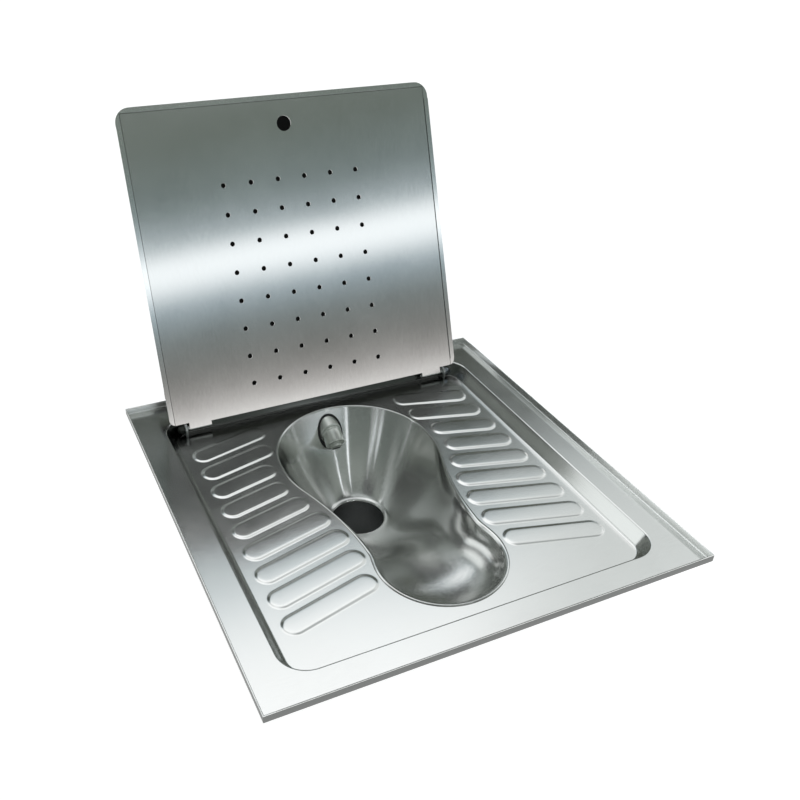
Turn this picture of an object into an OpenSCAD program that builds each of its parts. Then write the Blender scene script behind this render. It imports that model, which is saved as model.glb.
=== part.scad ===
// Squat toilet: a pressed steel pan for floor mounting, with a hinged perforated cover.
// Millimetres, +Z up. The origin is the centre of the pan, level with the underside of
// the rim, which rests on the finished floor. +Y points to the hinge and the flush spout.

/* [Pan] */
// Width of the pan, left to right
pan_w = 560; // [540:5:620]
// Depth of the pan, front to rear
pan_d = 570; // [560:5:620]
// Thickness of the pressed sheet
sheet = 1.2; // [0.8:0.1:1.6]
// Height of the upstand above the rim
upstand_h = 10; // [6:1:16]
// Width of the flat rim
rim_w = 40; // [30:1:42]
// Depth of the tray below the rim
tray_depth = 18; // [16:1:24]
// How far the tray wall leans in from rim to floor
tray_lean = 11; // [8:0.5:11]
// Corner radius of the tray at the rim
tray_corner_r = 35; // [28:1:45]

/* [Foot ribs] */
// Number of ribs on each side
rib_count = 9; // [6:1:9]
// Width of a rib at the tray floor
rib_w = 31; // [22:1:33]
// Height of a rib
rib_h = 4.8; // [3:0.1:4.9]
// How far a rib's side leans in
rib_lean = 3.5; // [2:0.5:5]
// Distance from rib to rib
rib_pitch = 42; // [38:1:44]
// Tilt of the ribs, inner ends towards the rear
rib_tilt = 14.5; // [8:0.5:18]
// Gap between the ribs' outer ends and the foot of the tray wall
rib_wall_gap = 13; // [11:1:21]
// Place of the rearmost rib's outer end
rib_rear_y = 170; // [160:1:174]
// Gap between a rib's inner end and the bowl opening
rib_gap = 10; // [8:1:16]
// Nearest that any rib comes to the middle of the pan
rib_inner_min = 104; // [96:1:112]

/* [Bowl] */
// Radius of the rear bulb of the opening
bulb_r = 111; // [104:1:112]
// Centre of the rear bulb
bulb_y = 101; // [92:1:102]
// Radius of the front nose of the opening
nose_r = 78; // [72:1:80]
// Centre of the front nose
nose_y = -133; // [-135:1:-125]
// Half width of the waist
waist_half = 73; // [66:1:73]
// Where the waist is narrowest
waist_y = -105; // [-108:1:-95]
// Radius of the flanks from waist to bulb
flank_r = 376; // [350:2:420]
// Radius of the drain hole
drain_r = 38; // [32:1:40]
// Centre of the drain hole
drain_y = 90; // [84:1:94]
// Depth of the bowl below the tray floor's underside
bowl_depth = 112; // [95:1:130]
// Fullness of the rear funnel's wall, 1 is a straight cone
funnel_fullness = 1.1; // [1.05:0.05:1.3]
// Fullness of the front trough's wall
trough_fullness = 2.2; // [1.9:0.1:2.6]
// Width of the bowl's flange below the deck
flange_w = 10; // [6:1:12]

/* [Outlet] */
// Wall of the outlet tube
outlet_wall = 1.5; // [1.2:0.1:2.5]
// Length of the outlet tube below its collar
outlet_l = 66; // [55:1:90]
// Width of the outlet collar
collar_w = 10; // [6:1:14]
// Thickness of the outlet collar
collar_t = 3; // [2:0.5:5]

/* [Cover] */
// Gap between each side of the cover and the tray's edge at the rim
cover_gap = 9.5; // [9.5:0.5:20]
// Length of the cover from the hinge axis to its free edge
cover_l = 438; // [425:1:450]
// Corner radius at the free edge
cover_corner_r = 20; // [12:1:30]
// Corner radius at the hinge end, which clears the tray's corners
hinge_corner_r = 9; // [8:1:14]
// Width of the folded hems
hem_w = 6.5; // [5:0.5:8]
// Angle of the open cover above the floor, leaning back
cover_open = 69; // [66:1:80]
// Columns of holes
hole_columns = 6; // [3:1:8]
// Rows of holes
hole_rows = 8; // [4:1:9]
// Distance from hole to hole
hole_pitch = 40; // [34:1:42]
// Diameter of the small holes
hole_d = 7; // [5:0.5:9]
// Distance from the hinge axis to the middle of the hole pattern
pattern_from_axis = 185.5; // [180:0.5:195]
// Diameter of the finger hole
finger_d = 21; // [18:1:26]
// Distance from the free edge to the finger hole
finger_from_edge = 39; // [30:1:50]

/* [Hinge] */
// Distance from the rear of the pan to the hinge axis
axis_from_rear = 56; // [54:0.5:58]
// Height of the hinge axis above the tray floor
axis_above_floor = 9.2; // [9:0.1:10.5]
// Diameter of the hinge pins
pin_d = 6; // [5:0.5:6]
// Radial running clearance of the pins in the ears
pin_clearance = 0.05; // [0.03:0.01:0.08]
// Outer radius of the knuckle tubes
knuckle_r = 4; // [4:0.1:4.4]
// Width of a tab and its knuckle
tab_w = 32; // [24:1:34]
// Distance from the side of the cover to a tab's outer end
tab_inset = 27; // [26.5:0.5:32]
// Thickness of the ears
ear_t = 3; // [2:0.5:3.5]
// Radius of the ear round the axis
ear_r = 7.8; // [7:0.1:8]
// Length of the hinge slots
slot_l = 45; // [38:1:46]
// Width of the hinge slots
slot_w = 15.5; // [13:0.5:15.5]

/* [Flush spout] */
// Outer radius of the spout's elbow
spout_r = 14.5; // [12:0.5:15]
// Slope of the flush tube where it comes through the wall
spout_slope = 12; // [6:1:16]
// Downward tilt of the spout's mouth
mouth_tilt = 50; // [40:1:60]
// Radius of the elbow's bend
elbow_r = 24; // [20:1:28]
// Depth of the spout's axis below the rim where it meets the wall
spout_drop = 46; // [44:1:50]
// Length of the collar inside the bowl
collar_l = 6; // [4:0.5:8]
// Outer radius of the flush tube
flush_r = 10; // [8:0.5:10]
// Wall of the flush tube
flush_wall = 1.2; // [1:0.1:2]
// Distance from the rear of the pan to the end of the flush tube
flush_end_inset = 5; // [2:1:15]

/* [Fixings] */
// Diameter of the anchor studs
stud_d = 8; // [6:1:10]
// Length of the anchor studs
stud_l = 26; // [20:1:50]
// Distance from the edge of the pan to the studs
stud_inset = 24; // [16:1:24]
// Height of the foot supports
support_h = 20; // [14:1:30]
// Width of a foot support's crown
support_w = 34; // [26:1:36]
// Distance from the side of the pan to the middle of a foot support
support_inset = 108; // [104:1:112]
// Length of the foot supports
support_l = 380; // [300:5:384]

/* [Hidden] */
$fn = 64;

STEEL = "lightsteelblue";
BRIGHT = "gainsboro";
RUBBER = "dimgray";
LEFT = -1;
RIGHT = 1;
EPS = 0.01;        // cuts run this far past the faces that they go through
CUT = 1;           // and this far where nothing else is near
SEAT = 0.3;        // gap between a piece and what it leans on without being fixed

// Heights
rim_top = sheet;
floor_top = rim_top - tray_depth;
floor_under = floor_top - sheet;
drain_top = floor_under - bowl_depth;
drain_under = drain_top - sheet;

// Tray: half sizes of the rectangle that joins the corner centres
core_x = pan_w / 2 - rim_w - tray_corner_r;
core_y = pan_d / 2 - rim_w - tray_corner_r;
wall_angle = atan2(tray_depth, tray_lean);
rim_bend_r = 3;
foot_bend_r = 4;
rim_bend_run = rim_bend_r * tan(wall_angle / 2);
foot_bend_run = foot_bend_r * tan(wall_angle / 2);
wall_foot_r = tray_corner_r - tray_lean;
BEND_STEPS = 4;

// Bowl
BOWL_COLUMNS = 40;         // points on each side of the opening
BOWL_RINGS = 15;           // rings from lip to drain
bulb_taper = 400;          // how slowly the bulb narrows in front of its centre
nose_blend = 5;            // widths that differ by less than this blend at the waist
bulb_blend = 10;           // and here at the bulb
bowl_front = nose_y - nose_r;
bowl_rear = bulb_y + bulb_r;
drain_seat = 4;            // flat ring round the drain hole
drain_trim = 2;            // the shell reaches this far into the hole before it is cut
crease_l = 58;             // length over which the funnel turns into the trough
funnel_front = bulb_y - 13;
trough_rear = funnel_front - crease_l;

// Cover and hinge
cover_w = pan_w - 2 * (rim_w + cover_gap);
tab_outer = cover_w / 2 - tab_inset;
axis_y = pan_d / 2 - axis_from_rear;
axis_z = floor_top + axis_above_floor;
cover_front = knuckle_r;               // the cover's front face, from the axis
cover_back = knuckle_r - sheet;
knuckle_gap = 1.2;
ear_gap = 0.8;
main_edge = knuckle_r + knuckle_gap;   // the cover's hinge edge between the tabs
outer_edge = ear_r + ear_gap;          // and outside them, where it clears the ears
tab_to_ear = 4;
ear_in = tab_outer + tab_to_ear;
ear_out = ear_in + ear_t;
washer_t = 1;
washer_gap = 0.2;
washer_r = pin_d / 2 + 3;
nut_hex_l = 5;
nut_r = 5.8;
nut_dome_r = 5;
nut_grip = 2;              // how far the pin reaches past the nut's hexagon
slot_front = axis_y - slot_w;
slot_to_ear = 1.5;         // between the ear and the end of the slot
bracket_t = 2;
bracket_lap = 8;           // how far the bracket's foot reaches past the slot

// Flush spout: where its axis meets the bowl's rear wall, and how that wall leans there
spout_z = rim_top - spout_drop;
wall_run = bowl_rear - (drain_y + drain_r + drain_seat);
spout_fall = (floor_under - spout_z) / bowl_depth;
spout_in = 1 - pow(1 - pow(spout_fall, funnel_fullness), 1 / funnel_fullness);
spout_y = bowl_rear - spout_in * wall_run;
wall_steepness = pow(spout_fall / (1 - spout_in), funnel_fullness - 1);
wall_lean = atan(wall_steepness * wall_run / bowl_depth);
collar_wall = 2;           // the collar's step over the elbow
grommet_wall = 3;
grommet_front = 2.2;       // how far the grommet stands out of the wall, and behind it
grommet_rear = 5;
collar_r = spout_r + collar_wall;
grommet_r = collar_r + grommet_wall;
spout_back = 14;           // length of the collar behind the wall

// ---- shapes that repeat ----

module both_sides() {
  children();
  mirror([1, 0, 0]) children();
}

// Rectangle with round corners, whose corner centres are at +-half_x, +-half_y
module round_rect(half_x, half_y, r) {
  square([2 * half_x, 2 * (half_y + r)], center = true);
  square([2 * (half_x + r), 2 * half_y], center = true);
  for (sx = [-1, 1], sy = [-1, 1])
    translate([sx * half_x, sy * half_y]) circle(r);
}

// Solid cylinder along X from one side to the other
module x_rod(r, from, to) {
  translate([from, 0, 0]) rotate([0, 90, 0]) cylinder(r = r, h = to - from);
}

// ---- outline of the bowl's opening ----

function soft_max(a, b, k) = max(a, b) + pow(max(0, k - abs(a - b)), 2) / (4 * k);
function soft_min(a, b, k) = min(a, b) - pow(max(0, k - abs(a - b)), 2) / (4 * k);

// Half width of the nose: a circle
function nose_half(y) = sqrt(max(0, nose_r * nose_r - pow(y - nose_y, 2)));

// Half width of the flanks: a wide arc that opens from the waist to the rear
function flank_half(y) = waist_half + pow(max(0, y - waist_y), 2) / (2 * flank_r);

// Half width of the bulb: a circle behind its centre, nearly straight before it
function bulb_half(y) =
  y > bulb_y ? sqrt(max(0, bulb_r * bulb_r - pow(y - bulb_y, 2)))
             : bulb_r * sqrt(1 - pow((y - bulb_y) / bulb_taper, 2));

function opening_half(y) =
  y <= nose_y ? nose_half(y)
  : soft_min(bulb_half(y), soft_max(flank_half(y), nose_half(y), nose_blend), bulb_blend);

// Points round the opening, front to rear on the right, then rear to front on the left
function opening_y(i) =
  bowl_front + (bowl_rear - bowl_front) * (1 - cos(180 * i / BOWL_COLUMNS)) / 2;
function opening_point(i) =
  i <= BOWL_COLUMNS ? [opening_half(opening_y(i)), opening_y(i)]
                    : [-opening_half(opening_y(2 * BOWL_COLUMNS - i)),
                       opening_y(2 * BOWL_COLUMNS - i)];
opening = [for (i = [0:2 * BOWL_COLUMNS - 1]) opening_point(i)];

// ---- pan deck ----

// Section through the tray wall: floor, bend, leaning wall, bend, rim. x is the distance
// from the corner centre, y the height.
function foot_arc(r) = [for (k = [0:BEND_STEPS]) let (a = wall_angle * k / BEND_STEPS)
  [wall_foot_r - foot_bend_run + r * sin(a), floor_top + foot_bend_r - r * cos(a)]];
function rim_arc(r) = [for (k = [0:BEND_STEPS]) let (a = wall_angle * (1 - k / BEND_STEPS))
  [tray_corner_r + rim_bend_run - r * sin(a), rim_top - rim_bend_r + r * cos(a)]];
function backwards(list) = [for (k = [len(list) - 1:-1:0]) list[k]];

module wall_section() {
  polygon(concat(foot_arc(foot_bend_r), rim_arc(rim_bend_r),
                 backwards(rim_arc(rim_bend_r - sheet)),
                 backwards(foot_arc(foot_bend_r + sheet))));
}

module tray_wall() {
  for (side = [0, 180]) rotate(side) {
    translate([core_x, core_y, 0]) rotate([90, 0, 0])
      linear_extrude(2 * core_y) wall_section();
    translate([-core_x, core_y, 0]) rotate([90, 0, 90])
      linear_extrude(2 * core_x) wall_section();
  }
  for (sx = [0, 1], sy = [0, 1])
    mirror([sx, 0, 0]) mirror([0, sy, 0]) translate([core_x, core_y, 0])
      rotate_extrude(angle = 90) wall_section();
}

module rim_plate() {
  linear_extrude(sheet) difference() {
    square([pan_w, pan_d], center = true);
    round_rect(core_x, core_y, tray_corner_r + rim_bend_run);
  }
}

module upstand() {
  linear_extrude(rim_top + upstand_h) difference() {
    square([pan_w, pan_d], center = true);
    square([pan_w - 2 * sheet, pan_d - 2 * sheet], center = true);
  }
}

module tray_floor() {
  translate([0, 0, floor_under]) linear_extrude(sheet)
    round_rect(core_x, core_y, wall_foot_r - foot_bend_run);
}

// A raised pad with round ends and leaning sides, from the origin along -X
module rib_pad(length, width, height) {
  top_r = width / 2 - rib_lean;
  cylinder(r1 = width / 2, r2 = top_r, h = height);
  translate([-length, 0, 0]) cylinder(r1 = width / 2, r2 = top_r, h = height);
  rotate([90, 0, -90]) linear_extrude(length)
    polygon([[-width / 2, 0], [width / 2, 0], [top_r, height], [-top_r, height]]);
}

function rib_y(i) = rib_rear_y - i * rib_pitch;
rib_outer_x = pan_w / 2 - rim_w - tray_lean - rib_wall_gap - rib_w / 2;
// The bowl's half width is read where the rib would end if it reached the least distance
function rib_end_y(i) = rib_y(i) + (rib_outer_x - rib_inner_min) * tan(rib_tilt);
function rib_inner_x(i) =
  max(rib_end_y(i) > bulb_y + bulb_r / 2 ? rib_inner_min : 0,
      opening_half(rib_end_y(i)) + rib_gap) + rib_w / 2;
function rib_length(i) = (rib_outer_x - rib_inner_x(i)) / cos(rib_tilt);

module right_ribs(width, height, z) {
  for (i = [0:rib_count - 1])
    translate([rib_outer_x, rib_y(i), z]) rotate(-rib_tilt)
      rib_pad(rib_length(i), width, height);
}

module hinge_slot() {
  translate([ear_out + slot_to_ear - slot_l, slot_front, floor_under - EPS])
    cube([slot_l, slot_w, sheet + 2 * EPS]);
}

module pan_deck() {
  color(STEEL) {
    difference() {
      union() {
        tray_floor();
        both_sides() right_ribs(rib_w, rib_h, floor_top);
      }
      both_sides() right_ribs(rib_w - sheet, rib_h + EPS, floor_under - EPS);
      translate([0, 0, floor_under - CUT]) linear_extrude(sheet + 2 * CUT)
        polygon(opening);
      both_sides() hinge_slot();
    }
    tray_wall();
    rim_plate();
    upstand();
  }
}

// ---- bowl ----

function smooth(t) = let (c = min(1, max(0, t))) c * c * (3 - 2 * c);

// Fullness of the wall below a point of the opening: the funnel's at the rear, the
// trough's in front, with a quick change between them that shows as a crease
function fullness(y) = trough_fullness + (funnel_fullness - trough_fullness)
  * smooth((y - trough_rear) / (funnel_front - trough_rear));

function unit(v) = v / norm(v);

// Direction square to the opening's edge at point i, pointing away from the bowl
function outward(i) =
  let (n = 2 * BOWL_COLUMNS,
       t = opening[(i + 1) % n] - opening[(i + n - 1) % n])
  unit([t[1], -t[0]]);

// Point of the wall: column i, ring k, on a surface that lies a sheet's part outside.
// Plan position and depth follow a superellipse from the edge to the drain's seat.
function wall_point(i, k, out) =
  let (edge = opening[i] + out * outward(i),
       centre = [0, drain_y],
       foot = centre + (drain_r + drain_seat + out) * unit(edge - centre),
       full = fullness(opening[i][1]),
       a = 90 * k / BOWL_RINGS,
       in = k == BOWL_RINGS ? 1 : 1 - pow(cos(a), 2 / full),
       fall = k == 0 ? 0 : pow(sin(a), 2 / full),
       plan = edge + in * (foot - edge))
  [plan[0], plan[1], floor_under - out - bowl_depth * fall];

function flange_point(i, z) =
  let (p = opening[i] + flange_w * outward(i)) [p[0], p[1], z];

function drain_point(i, z) =
  let (p = [0, drain_y] + (drain_r - drain_trim) * unit(opening[i] - [0, drain_y]))
  [p[0], p[1], z];

module bowl_shell() {
  n = 2 * BOWL_COLUMNS;
  loops = concat(
    [[for (i = [0:n - 1]) flange_point(i, floor_under)]],
    [for (k = [0:BOWL_RINGS]) [for (i = [0:n - 1]) wall_point(i, k, 0)]],
    [[for (i = [0:n - 1]) drain_point(i, drain_top)]],
    [[for (i = [0:n - 1]) drain_point(i, drain_under)]],
    [for (k = [BOWL_RINGS:-1:0]) [for (i = [0:n - 1]) wall_point(i, k, sheet)]],
    [[for (i = [0:n - 1]) flange_point(i, floor_under - sheet)]]);
  rows = len(loops);
  points = [for (loop = loops) for (p = loop) p];
  faces = [for (r = [0:rows - 1]) for (i = [0:n - 1])
    let (s = (r + 1) % rows, j = (i + 1) % n,
         a = r * n + i, b = r * n + j, c = s * n + j, d = s * n + i)
    each [[a, b, c], [a, c, d]]];
  polyhedron(points, faces, convexity = 8);
}

module spout_frame() {
  translate([0, spout_y, spout_z]) rotate([90 + spout_slope, 0, 0]) children();
}

module bowl() {
  color(STEEL) difference() {
    bowl_shell();
    translate([0, drain_y, drain_under - CUT])
      cylinder(r = drain_r, h = sheet + 2 * CUT);
    spout_frame() translate([0, 0, -2 * grommet_r])
      cylinder(r = grommet_r, h = 4 * grommet_r);
  }
}

// ---- outlet ----

outlet_step = 0.5;         // the tube is this much wider than the drain hole
outlet_r = drain_r + outlet_step + outlet_wall;

module outlet_tube() {
  color(STEEL) translate([0, drain_y, drain_under - collar_t - outlet_l]) difference() {
    cylinder(r = outlet_r, h = outlet_l);
    translate([0, 0, -EPS])
      cylinder(r = outlet_r - outlet_wall, h = outlet_l + 2 * EPS);
  }
}

// Ring between the bowl and the tube, welded to both
module outlet_collar() {
  color(STEEL) translate([0, drain_y, drain_under - collar_t]) difference() {
    cylinder(r = outlet_r + collar_w, h = collar_t);
    translate([0, 0, -EPS])
      cylinder(r = outlet_r - outlet_wall, h = collar_t + 2 * EPS);
  }
}

// ---- cover, drawn with the hinge axis on X, lying along +Y, front face up ----

module open_cover() {
  translate([0, axis_y, axis_z]) rotate([cover_open, 0, 0]) children();
}

tab_inner = tab_outer - tab_w;

module cover_outline() {
  half = cover_w / 2;
  far = cover_l - cover_corner_r;
  near = outer_edge + hinge_corner_r;
  difference() {
    union() {
      translate([-half, near]) square([cover_w, far - near]);
      translate([-half + cover_corner_r, near])
        square([cover_w - 2 * cover_corner_r, cover_l - near]);
      translate([-half + hinge_corner_r, outer_edge])
        square([cover_w - 2 * hinge_corner_r, 2 * hinge_corner_r]);
      for (s = [-1, 1]) {
        translate([s * (half - cover_corner_r), far]) circle(cover_corner_r);
        translate([s * (half - hinge_corner_r), near]) circle(hinge_corner_r);
      }
      translate([-tab_outer, main_edge])
        square([2 * tab_outer, outer_edge - main_edge + CUT]);
      for (s = [-1, 1])
        translate([s * (tab_outer + tab_inner) / 2 - tab_w / 2, 0])
          square([tab_w, main_edge + CUT]);
    }
    for (column = [0:hole_columns - 1], row = [0:hole_rows - 1])
      translate([(column - (hole_columns - 1) / 2) * hole_pitch,
                 pattern_from_axis + (row - (hole_rows - 1) / 2) * hole_pitch])
        circle(d = hole_d);
    translate([0, cover_l - finger_from_edge]) circle(d = finger_d);
  }
}

// Folded hems: narrow second layers on the front, which stop before the corners
module hems() {
  end_gap = 4;
  side_from = outer_edge + hinge_corner_r + 1;
  side_to = cover_l - cover_corner_r - end_gap;
  for (s = [-1, 1])
    translate([s * (cover_w - hem_w) / 2 - hem_w / 2, side_from])
      square([hem_w, side_to - side_from]);
  top_l = cover_w - 2 * (cover_corner_r + end_gap);
  translate([-top_l / 2, cover_l - hem_w]) square([top_l, hem_w]);
}

module cover_panel() {
  color(BRIGHT) open_cover() {
    difference() {
      translate([0, 0, cover_back]) linear_extrude(sheet) cover_outline();
      x_rod(knuckle_r, -pan_w / 2, pan_w / 2);
    }
    translate([0, 0, cover_front]) linear_extrude(sheet) hems();
  }
}

module cover_knuckle(side) {
  color(BRIGHT) open_cover() mirror([side == LEFT ? 1 : 0, 0, 0]) difference() {
    x_rod(knuckle_r, tab_inner, tab_outer);
    x_rod(pin_d / 2, tab_inner - EPS, tab_outer + EPS);
  }
}

module cover_knuckle_left() { cover_knuckle(LEFT); }
module cover_knuckle_right() { cover_knuckle(RIGHT); }

// ---- hinge ----

washer_out = ear_out + washer_gap + washer_t;
pin_end = washer_out + nut_hex_l + nut_grip;

module hinge_pin(side) {
  color(BRIGHT) open_cover() mirror([side == LEFT ? 1 : 0, 0, 0])
    x_rod(pin_d / 2, tab_inner + 1, pin_end);
}

module hinge_pin_left() { hinge_pin(LEFT); }
module hinge_pin_right() { hinge_pin(RIGHT); }

// One washer on each side of the ear
module hinge_washers(side) {
  color(BRIGHT) open_cover() mirror([side == LEFT ? 1 : 0, 0, 0])
    for (from = [ear_in - washer_gap - washer_t, ear_out + washer_gap])
      difference() {
        x_rod(washer_r, from, from + washer_t);
        x_rod(pin_d / 2, from - EPS, from + washer_t + EPS);
      }
}

module hinge_washers_left() { hinge_washers(LEFT); }
module hinge_washers_right() { hinge_washers(RIGHT); }

// Hexagon with a domed end, screwed on the pin
module dome_nut(side) {
  color(BRIGHT) open_cover() mirror([side == LEFT ? 1 : 0, 0, 0]) difference() {
    union() {
      translate([washer_out, 0, 0]) rotate([0, 90, 0])
        cylinder(r = nut_r, h = nut_hex_l, $fn = 6);
      intersection() {
        translate([washer_out + nut_hex_l - 1, 0, 0]) sphere(r = nut_dome_r);
        x_rod(nut_r, washer_out + nut_hex_l - 1, washer_out + nut_hex_l + nut_r);
      }
    }
    x_rod(pin_d / 2, washer_out - EPS, pin_end);
  }
}

module dome_nut_left() { dome_nut(LEFT); }
module dome_nut_right() { dome_nut(RIGHT); }

// Foot below the deck, an ear that rises through the slot, and a horn behind the ear
// that the open cover leans on
module hinge_bracket(side) {
  horn_l = 2 * ear_r;
  horn_front = cover_back - SEAT;
  horn_back = 3;
  horn_w = horn_front + horn_back;
  foot_beyond = 14;
  foot_bottom = floor_under - bracket_t;
  ear_front = axis_y - ear_r;
  ear_rear = axis_y - 0.5;
  color(STEEL) mirror([side == LEFT ? 1 : 0, 0, 0]) {
    translate([ear_in - bracket_lap, slot_front - bracket_lap, foot_bottom])
      cube([ear_t + bracket_lap + foot_beyond, ear_rear - slot_front + 1.5 * bracket_lap,
            bracket_t]);
    difference() {
      union() {
        translate([ear_in, ear_front, foot_bottom])
          cube([ear_t, ear_rear - ear_front, axis_z - foot_bottom]);
        translate([0, axis_y, axis_z]) x_rod(ear_r, ear_in, ear_out);
        translate([ear_in, axis_y, axis_z]) rotate([cover_open, 0, 0])
          translate([0, 0, horn_front - horn_w]) cube([ear_t, horn_l, horn_w]);
      }
      translate([0, axis_y, axis_z])
        x_rod(pin_d / 2 + pin_clearance, ear_in - EPS, ear_out + EPS);
    }
  }
}

module hinge_bracket_left() { hinge_bracket(LEFT); }
module hinge_bracket_right() { hinge_bracket(RIGHT); }

// ---- flush spout: drawn along +Z, which spout_frame() turns into the bowl ----

// Slab parallel to the bowl's wall, between two heights above it
module wall_slab(low, high) {
  reach = 3 * grommet_r;
  translate([0, spout_y, spout_z]) rotate([90 - wall_lean, 0, 0])
    translate([-reach, -reach, low]) cube([2 * reach, 2 * reach, high - low]);
}

// Straight tube from the collar to the rear of the pan
module flush_tube() {
  end_y = pan_d / 2 - flush_end_inset;
  tube_l = (end_y - spout_y) / cos(spout_slope) - spout_back;
  color(STEEL) spout_frame() translate([0, 0, -spout_back - tube_l]) difference() {
    cylinder(r = flush_r, h = tube_l);
    translate([0, 0, -EPS]) cylinder(r = flush_r - flush_wall, h = tube_l + 2 * EPS);
  }
}

// Rubber ring that seals the collar in the wall
module spout_grommet() {
  color(RUBBER) intersection() {
    spout_frame() translate([0, 0, -2 * grommet_r]) difference() {
      cylinder(r = grommet_r, h = 4 * grommet_r);
      translate([0, 0, -EPS]) cylinder(r = collar_r, h = 4 * grommet_r + 2 * EPS);
    }
    wall_slab(-grommet_rear, grommet_front);
  }
}

// Thick sleeve that joins the flush tube to the elbow, with a chamfer in the bowl
module spout_collar() {
  chamfer = 1.5;
  color(BRIGHT) spout_frame() translate([0, 0, -spout_back]) difference() {
    union() {
      cylinder(r = collar_r, h = spout_back + collar_l - chamfer);
      translate([0, 0, spout_back + collar_l - chamfer])
        cylinder(r1 = collar_r, r2 = collar_r - chamfer, h = chamfer);
    }
    translate([0, 0, -EPS])
      cylinder(r = flush_r - flush_wall, h = spout_back + collar_l + 2 * EPS);
  }
}

// Centre of the elbow's bend, straight below its start
bend_y = spout_y - collar_l * cos(spout_slope) + elbow_r * sin(spout_slope);
bend_z = spout_z - collar_l * sin(spout_slope) - elbow_r * cos(spout_slope);

module spout_body() {
  color(BRIGHT) translate([0, bend_y, bend_z])
    rotate([90, 0, 90]) rotate([0, 0, 90 + spout_slope])
      rotate_extrude(angle = mouth_tilt - spout_slope) translate([elbow_r, 0])
        difference() {
          circle(spout_r);
          circle(flush_r);
        }
}

// Stepped cap with a flat mouth
module spout_nozzle() {
  cone_h = 3;
  boss_h = 7.5;
  boss_r = spout_r * 0.58;
  boss_t = spout_r * 0.75;
  mouth = [spout_r * 0.86, spout_r * 0.34];
  color(BRIGHT)
    translate([0, bend_y - elbow_r * sin(mouth_tilt), bend_z + elbow_r * cos(mouth_tilt)])
      rotate([90 + mouth_tilt, 0, 0]) difference() {
        union() {
          cylinder(r1 = spout_r, r2 = spout_r * 0.72, h = cone_h);
          intersection() {
            cylinder(r = boss_r, h = boss_h);
            translate([-boss_r, -boss_t / 2, 0]) cube([2 * boss_r, boss_t, boss_h]);
          }
        }
        translate([-mouth[0] / 2, -mouth[1] / 2, -EPS])
          cube([mouth[0], mouth[1], boss_h + 2 * EPS]);
      }
}

// ---- supports and fixings ----

// Hat section: a crown against the deck, two legs and two narrow feet
module foot_support(side) {
  wall = 2;
  foot = 8;
  support_x = pan_w / 2 - support_inset;
  color(STEEL) translate([side * support_x, support_l / 2, floor_under])
    rotate([90, 0, 0]) linear_extrude(support_l) {
      translate([-support_w / 2, -wall]) square([support_w, wall]);
      for (s = [-1, 1]) {
        translate([s * (support_w - wall) / 2 - wall / 2, -support_h])
          square([wall, support_h]);
        translate([s * (support_w / 2 + foot / 2 - wall) - foot / 2, -support_h])
          square([foot, wall]);
      }
    }
}

module foot_support_left() { foot_support(LEFT); }
module foot_support_right() { foot_support(RIGHT); }

module anchor_studs() {
  color(BRIGHT) for (sx = [-1, 1], sy = [-1, 1])
    translate([sx * (pan_w / 2 - stud_inset), sy * (pan_d / 2 - stud_inset), -stud_l])
      cylinder(d = stud_d, h = stud_l);
}

pan_deck();
bowl();
outlet_tube();
outlet_collar();
cover_panel();
cover_knuckle_left();
cover_knuckle_right();
hinge_pin_left();
hinge_pin_right();
hinge_washers_left();
hinge_washers_right();
dome_nut_left();
dome_nut_right();
hinge_bracket_left();
hinge_bracket_right();
flush_tube();
spout_grommet();
spout_collar();
spout_body();
spout_nozzle();
foot_support_left();
foot_support_right();
anchor_studs();
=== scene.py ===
"""Squat toilet: pressed steel pan with foot ribs, a funnel bowl and a hinged cover.

Every piece is in metres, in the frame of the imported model. Sizes below are in
millimetres, as in the part's source, and are scaled when a mesh is made.
"""
import math

import bmesh
import bpy
import numpy as np
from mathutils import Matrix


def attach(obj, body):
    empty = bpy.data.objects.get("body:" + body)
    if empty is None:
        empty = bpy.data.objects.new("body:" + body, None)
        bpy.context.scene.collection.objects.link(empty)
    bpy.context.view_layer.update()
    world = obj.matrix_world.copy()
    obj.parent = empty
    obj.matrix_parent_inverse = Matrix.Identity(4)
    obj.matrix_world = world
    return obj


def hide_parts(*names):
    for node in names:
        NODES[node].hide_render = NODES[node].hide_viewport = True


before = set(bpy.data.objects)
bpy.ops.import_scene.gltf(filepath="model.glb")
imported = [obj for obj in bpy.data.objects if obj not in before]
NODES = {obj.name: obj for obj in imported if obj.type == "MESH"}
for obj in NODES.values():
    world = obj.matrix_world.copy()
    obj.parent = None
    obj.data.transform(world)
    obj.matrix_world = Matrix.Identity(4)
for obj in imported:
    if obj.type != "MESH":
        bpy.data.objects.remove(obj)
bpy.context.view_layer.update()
MM = 0.001

# ---- sizes, in millimetres ----

PAN_HALF = np.array([280.0, 285.0])
SHEET = 1.2
UPSTAND_TOP, UPSTAND_T = 11.2, 1.5        # height and thickness
FLOOR_TOP, FLOOR_UNDER = -16.8, -18.0     # faces of the tray's floor
TRAY_HALF = np.array([229.0, 234.0])      # foot of the tray wall
WALL_FOOT_R = 24.0                        # its corners
WALL_LEAN, TRAY_DEPTH = 11.0, 18.0        # how far out and how high the wall goes
FOOT_BEND_R, RIM_BEND_R = 4.0, 2.5
FOLD_BAND = 3.0                           # the upstand's fold starts this far in
FOLD_R, FILLET_R = 2.0, 1.0               # its outer bend, and its inner one on the rim

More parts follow.
